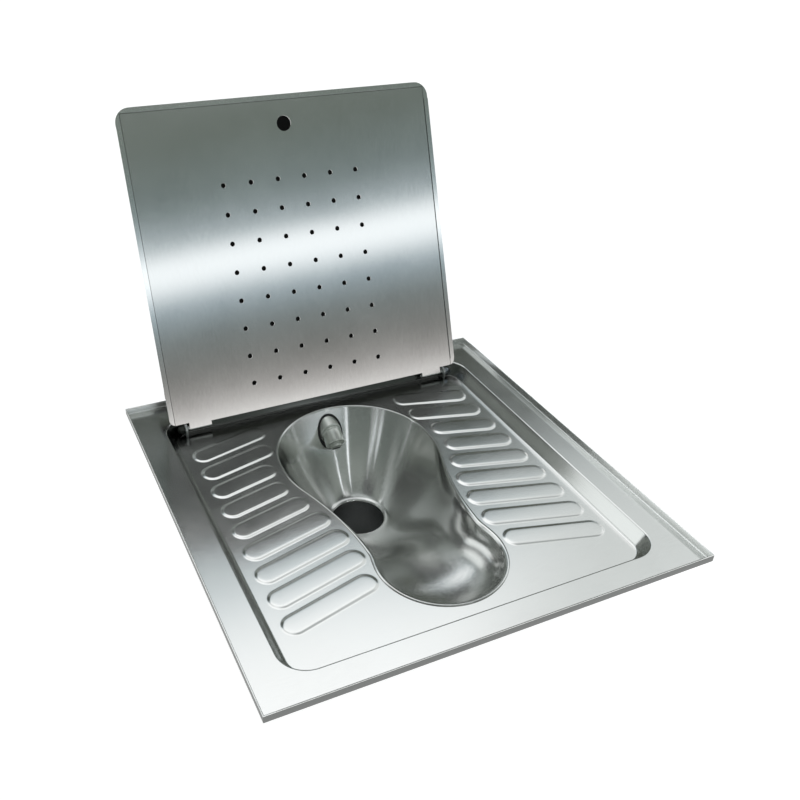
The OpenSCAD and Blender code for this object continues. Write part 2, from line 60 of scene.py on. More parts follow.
RIB_COUNT, RIB_PITCH, RIB_TILT = 9, 42.0, math.radians(14.5)
RIB_EASE, RIB_MARGIN = 0.8, 1.2           # how far a foot runs out, and its flat margin
RIB_LIFT, FOLD_LIFT = 0.02, 0.03          # ribs over the floor, and the fold over the rim
RIB_W, RIB_STEP, RIB_SLOPE, RIB_CROWN = 31.0, 0.95, 4.8, 0.15
RIB_CORE, RIB_ARC = 0.3, 25               # half of the flat middle strip, points on an end
RIB_REACH, RIB_REAR_Y = 216.0, 170.0      # outer end of a rib, and the rearmost one
RIB_GAP, RIB_INNER_MIN = 10.0, 104.0      # from the opening, and the rear ribs' inner end

BULB_R, BULB_Y, BULB_TAPER = 111.0, 101.0, 400.0   # it narrows forwards on an ellipse
NOSE_R, NOSE_Y = 78.0, -133.0
WAIST_HALF, WAIST_Y, FLANK_R = 73.0, -105.0, 376.0
DRAIN_R, DRAIN_Y, DRAIN_SEAT, BOWL_DEPTH = 38.0, 90.0, 4.0, 112.0
# exponents of the bowl's curves: 1 is a straight slope, a high one a box
FUNNEL_FULLNESS, TROUGH_FULLNESS, WALL_FULLNESS = 1.2, 2.2, 6.0
NOSE_DEPTH, TROUGH_FALL = 46.0, 1.5
BLEND_FRONT, BLEND_REAR = -75.0, 42.0     # the trough turns into the funnel between these
NOSE_BLEND, BULB_BLEND = 5.0, 10.0        # sizes of the blends at the flank's two ends
ROLL_REAR, ROLL_FRONT = 2.0, 5.0          # width of the rolled lip, behind and in front
ROLL_FROM, ROLL_RUN = 100.0, 250.0        # the lip widens forwards from here, over this run
DRAIN_EDGE_R, DRAIN_EDGE_DROP = 2.0, 3.2  # the drain's turned-down edge
WALL_ROWS, ROW_CROWDING = 62, 1.7         # rows of the bowl's wall, crowded near the lip
WALL_START, TRIALS = 0.3, 241             # first row's depth, as a part of the lip's width
GRAIN_DOWN, GRAIN_ROUND = 10, 40          # the bowl's grain map, down and round the wall

COVER_LEAN = math.radians(69)
HINGE = np.array([0, 229.0, -7.6])
COVER_UP = np.array([0, math.cos(COVER_LEAN), math.sin(COVER_LEAN)])
COVER_OUT = np.array([0, -math.sin(COVER_LEAN), math.cos(COVER_LEAN)])   # out of its front
HEM_W, SEAM_W = 6.5, 0.55                 # the cover's folded hem, and the seam beside it, where a shadow line is painted

SPOUT_R, ELBOW_R, SPOUT_RUN = 14.5, 24.0, 12.0
SPOUT_SLOPE, SPOUT_TILT = math.radians(12), math.radians(32)
BEAD_H, BEAD_W, BROKEN_EDGE = 1.3, 3.2, 0.9
RING_R, RING_H, BOSS_R, BOSS_H = 9.8, 1.6, 8.4, 5.1
SLOT_HALF, SLOT_HIGH = 6.8, 2.8           # half sizes of the slot in the spout's mouth
SLOT_LOW = 2.6                            # how far the slot lies below the boss's middle
# the slot isn't cut: its opening is painted shade in this colour
SLOT_SHADE_COLOUR = (0.01, 0.01, 0.01)

# ---- mesh making ----


def grid_faces(rows, columns, close_columns=False, close_rows=False):
    """Quads between neighbouring points of a rows by columns grid, as an index array."""
    r = np.arange(rows if close_rows else rows - 1)[:, None]
    c = np.arange(columns if close_columns else columns - 1)[None, :]
    r2, c2 = (r + 1) % rows, (c + 1) % columns
    return np.stack([r * columns + c, r * columns + c2, r2 * columns + c2,
                     r2 * columns + c], -1).reshape(-1, 4)


def make_mesh(name, points, faces, material, uv=None, sharp_angle=None):
    """An object from points in millimetres and quads or triangles, smooth shaded."""
    mesh = bpy.data.meshes.new(name)
    points = np.asarray(points, float).reshape(-1, 3) * MM
    mesh.from_pydata(points.tolist(), [], [list(f) for f in faces])
    mesh.validate()
    mesh.polygons.foreach_set("use_smooth", [True] * len(mesh.polygons))
    if uv is not None:
        layer = mesh.uv_layers.new(name="grain")
        corner = np.zeros(len(mesh.loops), np.int32)
        mesh.loops.foreach_get("vertex_index", corner)
        layer.data.foreach_set("uv", np.asarray(uv, float)[corner].ravel())
    mesh.materials.append(material)
    obj = bpy.data.objects.new(name, mesh)
    bpy.context.scene.collection.objects.link(obj)
    if sharp_angle is not None:
        set_sharp(mesh, sharp_angle)
    mesh.update()
    return obj


def set_sharp(mesh, degrees):
    """Marks edges that bend by more than the angle as sharp, so that shading breaks."""
    bm = bmesh.new()
    bm.from_mesh(mesh)
    limit = math.radians(degrees)
    for edge in bm.edges:
        edge.smooth = not (len(edge.link_faces) == 2
                           and edge.calc_face_angle(0.0) > limit)
    bm.to_mesh(mesh)
    bm.free()


def vertex_normals(points):
    """Unit normals of a grid that is closed in its columns, by central differences."""
    around = np.roll(points, -1, 1) - np.roll(points, 1, 1)
    n = np.cross(around, np.gradient(points, axis=0))
    return n / np.maximum(np.linalg.norm(n, axis=-1, keepdims=True), 1e-9)


def shell(name, top, material, uv):
    """A sheet: the top grid, closed in its columns, whose rows run so that it faces out;
    an underside of every second row and column that lies one thickness below it along
    its normals; and rims that join the two."""
    rows, columns = top.shape[:2]
    keep = np.unique(np.r_[np.arange(0, rows, 2), rows - 1])
    under = (top - vertex_normals(top) * SHEET)[keep][:, ::2]
    under_rows, under_columns = under.shape[:2]
    base = rows * columns
    faces = grid_faces(rows, columns, close_columns=True).tolist()
    below = grid_faces(under_rows, under_columns, close_columns=True)
    faces += (below[:, ::-1] + base).tolist()
    for row, under_row, turn in ((0, 0, 1), (rows - 1, under_rows - 1, -1)):
        c = np.arange(under_columns)
        a = row * columns + 2 * c
        b, d = a + 1, row * columns + (2 * c + 2) % columns
        e = base + under_row * under_columns + c
        f = base + under_row * under_columns + (c + 1) % under_columns
        for tri in (np.stack([b, a, e], 1), np.stack([b, e, f], 1), np.stack([d, b, f], 1)):
            faces += tri[:, ::turn].tolist()
    uv_under = uv[keep][:, ::2].reshape(-1, 2)
    return make_mesh(name, np.r_[top.reshape(-1, 3), under.reshape(-1, 3)], faces,
                     material, np.r_[uv.reshape(-1, 2), uv_under])


def cad_points(node):
    """The points of a CAD node, in metres."""
    mesh = NODES[node].data
    points = np.zeros(len(mesh.vertices) * 3)
    mesh.vertices.foreach_get("co", points)
    return points.reshape(-1, 3)


def cover_reach():
    """The open cover's half width, its length from the hinge, and how far its front and
    its back lie in front of the hinge's axis."""
    points = cad_points("cover_panel") - HINGE * MM
    out = points @ COVER_OUT
    return points[:, 0].max(), (points @ COVER_UP).max(), out.max(), out.min()


def raised(plan, height):
    """The points of a plan, a grid of x and y, at one height or at one for each row."""
    height = np.broadcast_to(np.reshape(height, (-1, 1, 1)), plan.shape[:2] + (1,))
    return np.concatenate([plan, height], 2)


def finish_piece(obj, body, slot, *nodes):
    """Ties a piece to its body and hides the CAD nodes that it stands for; slot is not used."""
    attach(obj, body)
    if nodes:
        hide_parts(*nodes)
    return obj


MERGE_DISTANCE = 0.004                     # points nearer than this are one
FLAT_ANGLE, SHARP_ANGLE, BEVEL_ANGLE = 0.5, 32, 40   # in degrees


def refined(node, body, slot, material, bevel):
    """A CAD node's own shape with merged points, broken edges and smooth curves."""
    mesh = NODES[node].data.copy()
    mesh.name = node + "_finished"
    bm = bmesh.new()
    bm.from_mesh(mesh)
    bmesh.ops.remove_doubles(bm, verts=bm.verts, dist=MERGE_DISTANCE * MM)
    bmesh.ops.dissolve_limit(bm, angle_limit=math.radians(FLAT_ANGLE), verts=bm.verts,
                             edges=bm.edges)
    for face in bm.faces:
        face.smooth = True
    bm.to_mesh(mesh)
    bm.free()
    mesh.materials.clear()
    mesh.materials.append(material)
    obj = bpy.data.objects.new(node + "_finished", mesh)
    bpy.context.scene.collection.objects.link(obj)
    set_sharp(mesh, SHARP_ANGLE)
    cut = obj.modifiers.new("broken_edges", "BEVEL")
    cut.width = bevel * MM
    cut.segments = 2
    cut.limit_method = "ANGLE"
    cut.angle_limit = math.radians(BEVEL_ANGLE)
    return finish_piece(obj, body, slot, node)


# ---- materials ----


def cleared_tree(owner):
    """The node tree of a material or a world, emptied."""
    owner.use_nodes = True
    owner.node_tree.nodes.clear()
    return owner.node_tree


def bare_material(name):
    """A material with its output alone, and the socket that takes its surface."""
    material = bpy.data.materials.new(name)
    tree = cleared_tree(material)
    return material, tree, tree.nodes.new("ShaderNodeOutputMaterial").inputs["Surface"]


def new_material(name):
    """A material with a Principled shader."""
    material, tree, surface = bare_material(name)
    shader = tree.nodes.new("ShaderNodeBsdfPrincipled")
    tree.links.new(shader.outputs[0], surface)
    return material, tree, shader


def object_coords(tree):
    """A point's place on the object, in metres."""
    return tree.nodes.new("ShaderNodeTexCoord").outputs["Object"]


def noise(tree, vector, scale, detail=3.0, rough=0.5, stretch=None):
    """Noise, whose pattern a Mapping node stretches where a stretch is given."""
    if stretch is not None:
        mapping = tree.nodes.new("ShaderNodeMapping")
        mapping.inputs["Scale"].default_value = stretch
        tree.links.new(vector, mapping.inputs["Vector"])
        vector = mapping.outputs[0]
    node = tree.nodes.new("ShaderNodeTexNoise")
    node.inputs["Scale"].default_value = scale
    node.inputs["Detail"].default_value = detail
    node.inputs["Roughness"].default_value = rough
    tree.links.new(vector, node.inputs["Vector"])
    return node.outputs["Fac"]


def mapped(tree, value, low, high, to_low, to_high):
    """A value taken from one range to another, kept inside the second."""
    node = tree.nodes.new("ShaderNodeMapRange")
    for key, number in (("From Min", low), ("From Max", high),
                        ("To Min", to_low), ("To Max", to_high)):
        node.inputs[key].default_value = number
    tree.links.new(value, node.inputs["Value"])
    return node.outputs["Result"]


def calculated(tree, kind, a, b=None):
    """One Math node, whose inputs are sockets or plain numbers."""
    node = tree.nodes.new("ShaderNodeMath")
    node.operation = kind
    for place, value in enumerate((a, b)):
        if isinstance(value, (int, float)):
            node.inputs[place].default_value = value
        elif value is not None:
            tree.links.new(value, node.inputs[place])
    return node.outputs[0]


def product(tree, first, *others):
    """The product of two or more sockets or plain numbers."""
    for other in others:
        first = calculated(tree, "MULTIPLY", first, other)
    return first


def blended(tree, factor, a, b):
    """Colour a where the factor is 0 and colour b where it is 1."""
    node = tree.nodes.new("ShaderNodeMix")
    node.data_type = "RGBA"
    tree.links.new(factor, node.inputs[0])
    for place, value in ((6, a), (7, b)):
        if isinstance(value, tuple):
            node.inputs[place].default_value = (*value, 1)
        else:
            tree.links.new(value, node.inputs[place])
    return node.outputs[2]


def lobe(tree, value, centre, half, soft):
    """1 within half of the centre, falling to 0 over the soft width outside it."""
    away = calculated(tree, "ABSOLUTE", calculated(tree, "SUBTRACT", value, centre))
    return mapped(tree, away, half, half + soft, 1, 0)


def along(tree, coords, way, offset):
    """How far a point lies along a direction, counted from an offset, in metres."""
    dot = tree.nodes.new("ShaderNodeVectorMath")
    dot.operation = "DOT_PRODUCT"
    dot.inputs[1].default_value = way
    tree.links.new(coords, dot.inputs[0])
    return calculated(tree, "SUBTRACT", dot.outputs["Value"], offset)


GRAIN_DEPTH = 0.05 * MM
DARKER, LIGHTER = 0.93, 1.06               # what the grain and the marks do to the colour
UNEVEN = (0.7, 1.3)                        # the range that the sum of two noises covers


def steel(name, colour, rough, grain, anisotropy=0.0, across=None, spread=0.05,
          grain_bump=0.06):
    """Brushed steel: fine grain stretched along one way, cloudy handling marks, and a
    colour, roughness and bump that they change. The reflection is drawn out across the
    grain, along a direction in space or down the surface's own grain map."""
    material, tree, shader = new_material(name)
    coords = object_coords(tree)
    fine = noise(tree, coords, scale=1.0, detail=2.0, rough=0.6, stretch=grain)
    cloud = noise(tree, coords, scale=9.0, detail=4.0, rough=0.55)
    both = calculated(tree, "ADD", fine, cloud)
    shader.inputs["Metallic"].default_value = 1.0
    dark = tuple(c * DARKER for c in colour)
    light = tuple(min(1.0, c * LIGHTER) for c in colour)
    tint = blended(tree, mapped(tree, both, *UNEVEN, 0.0, 1.0), dark, light)
    tree.links.new(tint, shader.inputs["Base Color"])
    worn = mapped(tree, both, *UNEVEN, rough - spread, rough + spread)
    tree.links.new(worn, shader.inputs["Roughness"])
    bump = tree.nodes.new("ShaderNodeBump")
    bump.inputs["Strength"].default_value = grain_bump
    bump.inputs["Distance"].default_value = GRAIN_DEPTH
    tree.links.new(fine, bump.inputs["Height"])
    tree.links.new(bump.outputs[0], shader.inputs["Normal"])
    if anisotropy:
        shader.inputs["Anisotropic"].default_value = anisotropy
        if across is None:
            tangent = tree.nodes.new("ShaderNodeTangent")
            tangent.direction_type = "UV_MAP"
            tangent.uv_map = "grain"
        else:
            tangent = tree.nodes.new("ShaderNodeCombineXYZ")
            for place in range(3):
                tangent.inputs[place].default_value = across[place]
        tree.links.new(tangent.outputs[0], shader.inputs["Tangent"])
    return material


def paint_over(material, paint, *sizes):
    """Gives a material the colour that a function makes of the tree, Object coordinates
    and the colour so far."""
    tree = material.node_tree
    shader = next(node for node in tree.nodes if node.type == "BSDF_PRINCIPLED")
    colour = shader.inputs["Base Color"].links[0].from_socket
    colour = paint(tree, object_coords(tree), colour, *sizes)
    tree.links.new(colour, shader.inputs["Base Color"])


# painted shade below the open cover's edge, on the tray's floor and wall
GAP_FROM, GAP_FULL, HINGE_SHADE_SHARE = 190.0, 222.0, 0.88
GAP_UNDER, GAP_TOP = -0.5, 0.8             # the darkening ends between these heights
HINGE_SHADE_COLOUR = (0.030, 0.034, 0.030)


def painted_hinge_shade(tree, coords, colour):
    """Painted shade on the tray's floor and wall below the open cover's edge, darkening
    from nothing at one distance behind the middle to full at another, and not on the
    rim."""
    split = tree.nodes.new("ShaderNodeSeparateXYZ")
    tree.links.new(coords, split.inputs[0])
    behind = mapped(tree, split.outputs["Y"], GAP_FROM * MM, GAP_FULL * MM, 0.0, HINGE_SHADE_SHARE)
    below = mapped(tree, split.outputs["Z"], GAP_UNDER * MM, GAP_TOP * MM, 1.0, 0.0)
    return blended(tree, product(tree, behind, below), colour, HINGE_SHADE_COLOUR)


HEM_DEPTH = 1.3                            # the front reaches this far behind the hems
# painted highlight on the hems' strips, and painted shadow along the seams beside them
HEM_HIGHLIGHT_COLOUR, HEM_HIGHLIGHT_SHARE = (0.86, 0.88, 0.87), 0.5
SEAM_SHADOW_COLOUR, SEAM_SHADOW_SHARE, SEAM_SOFT = (0.12, 0.12, 0.12), 0.75, 0.4


def hems(tree, coords, colour):
    """The cover's folded hems: a dark seam of painted shadow along their inner edges on the
    front, and a slightly lighter strip of painted highlight outside it, by the distance
    to the cover's nearest edge."""
    half, length, front, _ = cover_reach()
    hinge = HINGE * MM
    across = calculated(tree, "ABSOLUTE", along(tree, coords, (1, 0, 0), 0.0))
    to_side = calculated(tree, "SUBTRACT", half, across)
    height = along(tree, coords, COVER_UP, float(hinge @ COVER_UP))
    to_top = calculated(tree, "SUBTRACT", length, height)
    edge = product(tree, calculated(tree, "MINIMUM", to_side, to_top), 1 / MM)
    out = along(tree, coords, COVER_OUT, float(hinge @ COVER_OUT))
    facing = calculated(tree, "GREATER_THAN", out, front - HEM_DEPTH * MM)
    strip = calculated(tree, "LESS_THAN", edge, HEM_W)
    seam = lobe(tree, edge, HEM_W + SEAM_W, SEAM_W / 2, SEAM_SOFT)
    colour = blended(tree, product(tree, strip, facing, HEM_HIGHLIGHT_SHARE), colour, HEM_HIGHLIGHT_COLOUR)
    return blended(tree, product(tree, seam, facing, SEAM_SHADOW_SHARE), colour, SEAM_SHADOW_COLOUR)


GREY, BLACK = (0.71, 0.715, 0.70), (0.012, 0.012, 0.012)
deck_steel = steel("brushed_deck_steel", GREY, 0.16, (60, 1800, 1800), 0.5, (0, 1, 0),
                   spread=0.03, grain_bump=0.008)
# the deck takes painted shade below the open cover's edge
paint_over(deck_steel, painted_hinge_shade)
edge_steel = steel("folded_edge_steel", (0.86, 0.87, 0.86), 0.25, (40, 40, 40), spread=0.04,
                   grain_bump=0.0)
bowl_steel = steel("drawn_bowl_steel", GREY, 0.175, (300, 300, 300), 0.9, spread=0.03,
                   grain_bump=0.01)
outside_steel = steel("dull_outside_steel", (0.22, 0.225, 0.22), 0.42, (300, 300, 300),
                      spread=0.05, grain_bump=0.02)
cover_steel = steel("brushed_cover_steel", GREY, 0.13, (2200, 90, 90), 0.95, (1, 0, 0),
                    spread=0.02, grain_bump=0.03)
# the cover takes a painted highlight on its hems and painted shadow along their seams
paint_over(cover_steel, hems)
plain_steel = steel("mill_finish_steel", (0.50, 0.51, 0.51), 0.36, (300, 300, 300))
bright_steel = steel("turned_steel", (0.66, 0.67, 0.67), 0.22, (900, 900, 900))
nut_steel = steel("blue_grey_nut_steel", (0.46, 0.50, 0.55), 0.28, (900, 900, 900))
# a dark copy of the nut steel for the left hinge's nut and washers: painted shade
shaded_steel = steel("painted_shade_nut_steel", (0.07, 0.075, 0.07), 0.45, (300, 300, 300))
spout_steel = steel("blasted_spout_steel", (0.72, 0.74, 0.70), 0.36, (1500, 1500, 1500),
                    grain_bump=0.25)


def dull_zinc():
    """Galvanised steel: crystals of slightly different greys."""
    material, tree, shader = new_material("galvanised_zinc")
    cells = tree.nodes.new("ShaderNodeTexVoronoi")
    cells.inputs["Scale"].default_value = 160.0
    tree.links.new(object_coords(tree), cells.inputs["Vector"])
    colour = blended(tree, mapped(tree, cells.outputs["Color"], 0, 1, 0, 1),
                     (0.40, 0.42, 0.43), (0.56, 0.58, 0.59))
    tree.links.new(colour, shader.inputs["Base Color"])
    shader.inputs["Metallic"].default_value = 0.85
    tree.links.new(mapped(tree, cells.outputs["Distance"], 0, 0.6, 0.45, 0.60),
                   shader.inputs["Roughness"])
    return material


def black_rubber():
    """Rubber: near black, matt, with a little bloom."""
    material, tree, shader = new_material("black_rubber")
    bloom = noise(tree, object_coords(tree), 120.0, 4.0)
    tree.links.new(blended(tree, bloom, BLACK, (0.035, 0.035, 0.035)),
                   shader.inputs["Base Color"])
    tree.links.new(mapped(tree, bloom, 0.3, 0.7, 0.5, 0.7), shader.inputs["Roughness"])
    return material


zinc = dull_zinc()
rubber = black_rubber()

# ---- outline of the opening, and the rays that the deck and the bowl are built on ----


def soft_pick(a, b, k, sign):
    """The larger (sign 1) or smaller (sign -1) of two widths, blended where they meet."""
    pick = np.maximum(a, b) if sign > 0 else np.minimum(a, b)
    return pick + sign * np.maximum(0, k - np.abs(a - b)) ** 2 / (4 * k)


def opening_half(y):
    """Half width of the opening at y: nose circle, widening flank, rear bulb."""
    nose = np.sqrt(np.maximum(0, NOSE_R ** 2 - (y - NOSE_Y) ** 2))
    flank = WAIST_HALF + np.maximum(0, y - WAIST_Y) ** 2 / (2 * FLANK_R)
    bulb = np.where(y > BULB_Y, np.sqrt(np.maximum(0, BULB_R ** 2 - (y - BULB_Y) ** 2)),
                    BULB_R * np.sqrt(1 - ((y - BULB_Y) / BULB_TAPER) ** 2))
    body = soft_pick(bulb, soft_pick(flank, nose, NOSE_BLEND, 1), BULB_BLEND, -1)
    return np.where(y <= NOSE_Y, nose, body)


RAY_FINE, RAY_COARSE = math.radians(0.42), math.radians(1.25)   # steps of the fans
FINE_FRONT, FINE_REAR = math.radians(-34), math.radians(52)     # fine between these
LEVEL_RAYS, REAR_RAYS = 157, 32


def ray_columns():
    """Rays that cover the pan: a fan round the nose, level rays between nose and bulb,
    and a fan round the bulb, then the same mirrored. Returns start points and
    directions, front to rear on the right and back on the left."""
    front = np.r_[np.arange(-math.pi / 2, FINE_FRONT, RAY_COARSE),
                  np.arange(FINE_FRONT, -RAY_FINE / 2, RAY_FINE)]
    level_y = np.linspace(NOSE_Y, BULB_Y, LEVEL_RAYS)
    rear = np.r_[np.arange(RAY_FINE, FINE_REAR, RAY_FINE),
                 np.linspace(FINE_REAR, math.pi / 2, REAR_RAYS)]
    start_y = np.r_[np.full(len(front), NOSE_Y), level_y, np.full(len(rear), BULB_Y)]
    angle = np.r_[front, np.zeros(len(level_y)), rear]
    if len(angle) % 2 == 0:            # odd, so that every second ray has the rear one
        start_y, angle = np.delete(start_y, 1), np.delete(angle, 1)
    start = np.stack([np.zeros_like(start_y), start_y], 1)
    way = np.stack([np.cos(angle), np.sin(angle)], 1)
    way[0], way[-1] = (0, -1), (0, 1)
    return np.r_[start, start[-2:0:-1]], np.r_[way, way[-2:0:-1] * (-1, 1)]


START, WAY = ray_columns()
COLUMNS = len(START)
LIP_R = np.where(START[:, 1] == NOSE_Y, NOSE_R,
                 np.where(START[:, 1] == BULB_Y, BULB_R, opening_half(START[:, 1])))
LIP = START + WAY * LIP_R[:, None]
WIDENING = np.clip((ROLL_FROM - LIP[:, 1]) / ROLL_RUN, 0, 1)
ROLL = ROLL_REAR + (ROLL_FRONT - ROLL_REAR) * (0.5 - 0.5 * np.cos(np.pi * WIDENING))


def to_round_rect(half, radius):
    """Where each ray leaves a rectangle with round corners: half sizes and radius.
    Found by bisection on the signed distance to the outline."""
    low, high = np.zeros(COLUMNS), np.full(COLUMNS, 500.0)
    for _ in range(50):
        middle = (low + high) / 2
        p = np.abs(START + WAY * middle[:, None]) - (half - radius)
        gap = np.linalg.norm(np.maximum(p, 0), axis=1) + np.minimum(p.max(1), 0) - radius
        low, high = np.where(gap < 0, middle, low), np.where(gap < 0, high, middle)
    return START + WAY * low[:, None]


FOOT = to_round_rect(TRAY_HALF, WALL_FOOT_R)


def foot_normals():
    """Directions square to the tray wall's foot, fanned round its corners."""
    p = np.abs(FOOT) - (TRAY_HALF - WALL_FOOT_R)
    out = np.where((p > 0).all(1)[:, None], p, np.where((p == p.max(1)[:, None]), 1.0, 0.0))
    return out / np.linalg.norm(out, axis=1, keepdims=True) * np.sign(FOOT + 1e-12)


FOOT_OUT = foot_normals()


def rim_edge():
    """Where the rays square to the wall meet the start of the upstand's fold. The ray
    nearest to each corner is put on the corner."""
    limit = PAN_HALF - FOLD_BAND
    with np.errstate(divide="ignore"):
        reach = np.where(np.abs(FOOT_OUT) > 1e-9,
                         (limit - np.sign(FOOT_OUT) * FOOT) / np.abs(FOOT_OUT), 1e9).min(1)
    edge = FOOT + FOOT_OUT * reach[:, None]
    for sx in (-1, 1):
        for sy in (-1, 1):
            corner = limit * (sx, sy)
            edge[np.linalg.norm(edge - corner, axis=1).argmin()] = corner
    return edge


# ---- the deck ----

UV_SCALE = 10                             # a grain map's units in a metre


def smooth_step(t):
    """A step from 0 to 1 that is level at both ends: three squares less two cubes."""
    t = np.clip(t, 0, 1)
    return t * t * (3 - 2 * t)


def rib_ends():
    """Centres of each right rib's two round ends, outer and inner, as 9 x 2 x 2."""
    outer = RIB_REACH - RIB_W / 2
    y_outer = RIB_REAR_Y - RIB_PITCH * np.arange(RIB_COUNT)
    y_end = y_outer + (outer - RIB_INNER_MIN) * math.tan(RIB_TILT)
    least = np.where(y_end > BULB_Y + BULB_R / 2, RIB_INNER_MIN, 0)
    inner = np.maximum(least, opening_half(y_end) + RIB_GAP) + RIB_W / 2
    y_inner = y_outer + (outer - inner) * math.tan(RIB_TILT)
    return np.stack([np.stack([np.full(RIB_COUNT, outer), y_outer], 1),
                     np.stack([inner, y_inner], 1)], 1)


def rib_rows():
    """Section of a rib from a flat margin to its middle, as distance out from its
    outline and height: a smooth step over the slope, and a parabola that crowns it."""
    t = np.linspace(0, 1, 13)
    half = RIB_W / 2 + RIB_EASE
    inward = np.r_[RIB_SLOPE * t, np.linspace(RIB_SLOPE, half - RIB_CORE, 5)[1:]]
    height = (RIB_STEP * smooth_step(inward / RIB_SLOPE)
              + RIB_CROWN * (1 - (1 - inward / half) ** 2))
    return np.r_[[[RIB_EASE + RIB_MARGIN, 0.0]], np.stack([RIB_EASE - inward, height], 1)]


def make_ribs(side):
    """The pressed ribs of one side: the section carried round each rib's outline, a line
    with round ends, and closed along the middle. The foot lies inside the sheet."""
    half_turn = np.linspace(0, math.pi, RIB_ARC)
    section = rib_rows()
    rows, ring = len(section) + 1, 2 * RIB_ARC
    points, faces = [], []
    for place, (a, b) in enumerate(rib_ends()):
        square = math.atan2(*(a - b)[::-1]) - math.pi / 2
        fan = np.stack([np.cos(square + half_turn), np.sin(square + half_turn)], 1)
        centre = np.r_[np.tile(a, (RIB_ARC, 1)), np.tile(b, (RIB_ARC, 1))]
        plan = centre + np.r_[fan, -fan] * (RIB_W / 2 + section[:, 0, None, None])
        rib = raised(plan * (side, 1), FLOOR_TOP + RIB_LIFT + section[:, 1])
        foot = rib[:1] - (0, 0, SHEET / 2)
        points.append(np.concatenate([foot, rib]).reshape(-1, 3))
        count = place * rows * ring
        quads = grid_faces(rows, ring, close_columns=True) + count
        faces += quads[:, ::side].tolist()
        faces.append((np.arange(ring) + count + (rows - 1) * ring)[::side].tolist())
        faces.append((np.arange(ring) + count)[::-side].tolist())
    points = np.concatenate(points)
    ribs = make_mesh("foot_ribs_right" if side > 0 else "foot_ribs_left", points, faces,
                     deck_steel, points[:, :2] * MM * UV_SCALE, sharp_angle=50)
    return finish_piece(ribs, "pan", "brushed_deck")


def wall_rows():
    """Section of the tray wall: distance out from its foot and height, from the floor's
    bend over the leaning wall to the rim's bend."""
    lean = math.atan2(TRAY_DEPTH, WALL_LEAN)
    foot_run = FOOT_BEND_R * math.tan(lean / 2)
    rim_run = RIM_BEND_R * math.tan(lean / 2)
    a = np.linspace(0, lean, 9)
    foot = np.stack([-foot_run + FOOT_BEND_R * np.sin(a),
                     FLOOR_TOP + FOOT_BEND_R * (1 - np.cos(a))], 1)
    a = np.linspace(lean, 0, 6)
    rim = np.stack([WALL_LEAN + rim_run - RIM_BEND_R * np.sin(a),
                    SHEET - RIM_BEND_R * (1 - np.cos(a))], 1)
    middle = foot[-1] + (rim[0] - foot[-1]) * np.array([[1 / 3], [2 / 3]])
    return np.r_[foot, middle, rim]


def deck_grid():
    """The deck's top: from the start of the bowl's roll along each ray to the wall's
    foot, over the wall, and across the rim to the upstand. Guard rows close to the bends
    keep the shading of the flat floor and rim even."""
    wall = wall_rows()
    begin = LIP + WAY * ROLL[:, None]
    end = FOOT + FOOT_OUT * wall[0, 0]
    t = np.r_[0, 0.004, np.linspace(0, 1, 46)[1:-1], 0.996][:, None, None]
    floor = raised(begin + (end - begin) * t, FLOOR_TOP)
    plan = FOOT + FOOT_OUT * wall[:, 0, None, None]
    t = np.array([0.008, 0.25, 0.5, 0.75, 0.985, 1])[:, None, None]
    rim = raised(plan[-1] + (rim_edge() - plan[-1]) * t, SHEET)
    return np.concatenate([floor, raised(plan, wall[:, 1]), rim])


def make_deck():
    """The deck's grid, from the upstand in to the bowl so that it faces up, as a sheet."""
    top = deck_grid()[::-1]
    deck = shell("pan_deck_pressed", top, deck_steel, top[..., :2] * MM * UV_SCALE)
    return finish_piece(deck, "pan", "brushed_deck", "pan_deck")


def upstand_profile():
    """Section of the folded edge, as distances in from the edge and heights: a quarter
    circle below, the outer face, a half circle on top, and a fillet on to the rim."""
    a = np.radians(np.linspace(0, 90, 5))
    half, rim = UPSTAND_T / 2, SHEET + FOLD_LIFT
    outer = np.stack([FOLD_R - FOLD_R * np.sin(a), FOLD_R - FOLD_R * np.cos(a)], 1)
    crown = np.stack([half - half * np.cos(2 * a),
                      UPSTAND_TOP - half + half * np.sin(2 * a)], 1)
    foot = np.stack([UPSTAND_T + FILLET_R - FILLET_R * np.cos(a),
                     rim + FILLET_R - FILLET_R * np.sin(a)], 1)
    return np.r_[[[FOLD_BAND, 0]], outer, crown, foot, [[FOLD_BAND, rim]]], len(outer) + 1


def make_upstand():
    """The folded edge: its section carried round the pan's rectangle, where each point
    is a corner direction blended into the next, with mitred corners."""
    profile, outer_rows = upstand_profile()
    corners = np.array([(-1, -1), (1, -1), (1, 1), (-1, 1)], float)[:, None]
    s = np.linspace(0, 1, 25)[:-1, None]
    side = (corners * (1 - s) + np.roll(corners, -1, 0) * s).reshape(-1, 2)
    half = PAN_HALF - profile[:, :1]
    points = raised(side * half[:, None], profile[:, 1])
    faces = grid_faces(len(profile), len(side), close_columns=True, close_rows=True)
    edge = make_mesh("pan_upstand", points, faces, edge_steel,
                     points.reshape(-1, 3)[:, :2] * MM * UV_SCALE, sharp_angle=35)
    edge.data.materials.append(outside_steel)
    outside = np.arange(len(faces)) // len(side) < outer_rows
    edge.data.polygons.foreach_set("material_index", outside.astype(np.int32))
    return finish_piece(edge, "pan", "brushed_deck")


# ---- the bowl ----


def egg_reach(way_x, way_y):
    """Distance from the drain centre along each way to an egg: the bulb's circle behind,
    an ellipse that reaches the nose in front. Each is where a quadratic is zero."""
    offset = BULB_Y - DRAIN_Y

    def reach(length):
        a = way_x ** 2 / BULB_R ** 2 + way_y ** 2 / length ** 2
        b = -2 * way_y * offset / length ** 2
        c = (offset / length) ** 2 - 1
        return (np.sqrt(b * b - 4 * a * c) - b) / (2 * a)

    behind = reach(BULB_R)
    return np.where(way_y * behind > offset, behind, reach(BULB_Y - NOSE_Y + NOSE_R))


